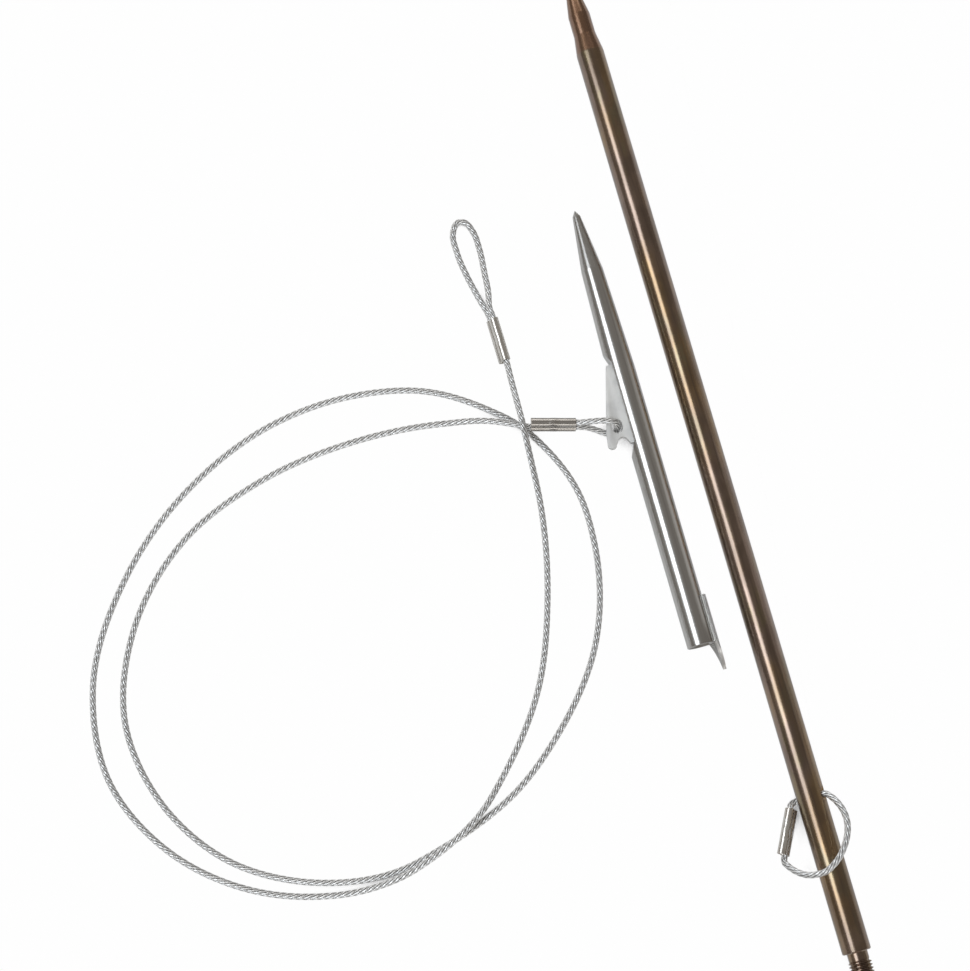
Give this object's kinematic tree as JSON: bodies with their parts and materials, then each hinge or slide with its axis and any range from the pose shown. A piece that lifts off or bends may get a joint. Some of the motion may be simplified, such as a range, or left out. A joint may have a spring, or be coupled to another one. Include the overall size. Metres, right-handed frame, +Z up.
{
  "type": "pole spear",
  "caption": "Front section of a pole spear laid flat: round steel shaft with threaded stud and wire ring, its drawn-off slip tip with tether plate and barb, and a looped wire-rope lanyard.",
  "frame": {"origin": "Centre of the shaft's rear shoulder, the flat ring face that the threaded stud stands out of, on the shaft's axis. The object lies on a flat surface 4 mm under the origin.", "axes": "+Y runs along the shaft from the shoulder to the nose, +X points to the right of the shaft seen from above, away from the slip tip, and +Z points up from the surface that everything lies on."},
  "size_m": [0.194, 0.3006, 0.0113],
  "materials": {
    "shaft_steel": "heat-tinted brown-grey stainless steel, polished lengthwise, mottled",
    "tip_steel": "bright machined stainless steel with fine lengthwise grain",
    "plate_steel": "matt cut stainless plate",
    "wire_rope": "bright stranded stainless wire rope",
    "sleeve_steel": "bright plated metal with faint brown tints"
  },
  "bodies": {
    "shaft": {"shaft": "shaft_steel"},
    "ring": {"ring_cable": "wire_rope", "ring_sleeve": "sleeve_steel"},
    "slip_tip": {"tip_barrel": "tip_steel", "tether_plate": "plate_steel", "rear_barb": "tip_steel", "lanyard_cable": "wire_rope", "tip_sleeve": "sleeve_steel", "eye_sleeve": "sleeve_steel"}
  },
  "joints": [
    {"name": "ring_swing", "type": "hinge", "parent": "shaft", "child": "ring", "pos_m": [0, 0.0433, 0], "axis": [-0.9063, 0, -0.4226], "range_deg": [0, 149]},
    {"name": "tip_draw", "type": "slide", "parent": "shaft", "child": "slip_tip", "axis": [0, 1, 0], "range_m": [0, 0.196]}
  ]
}
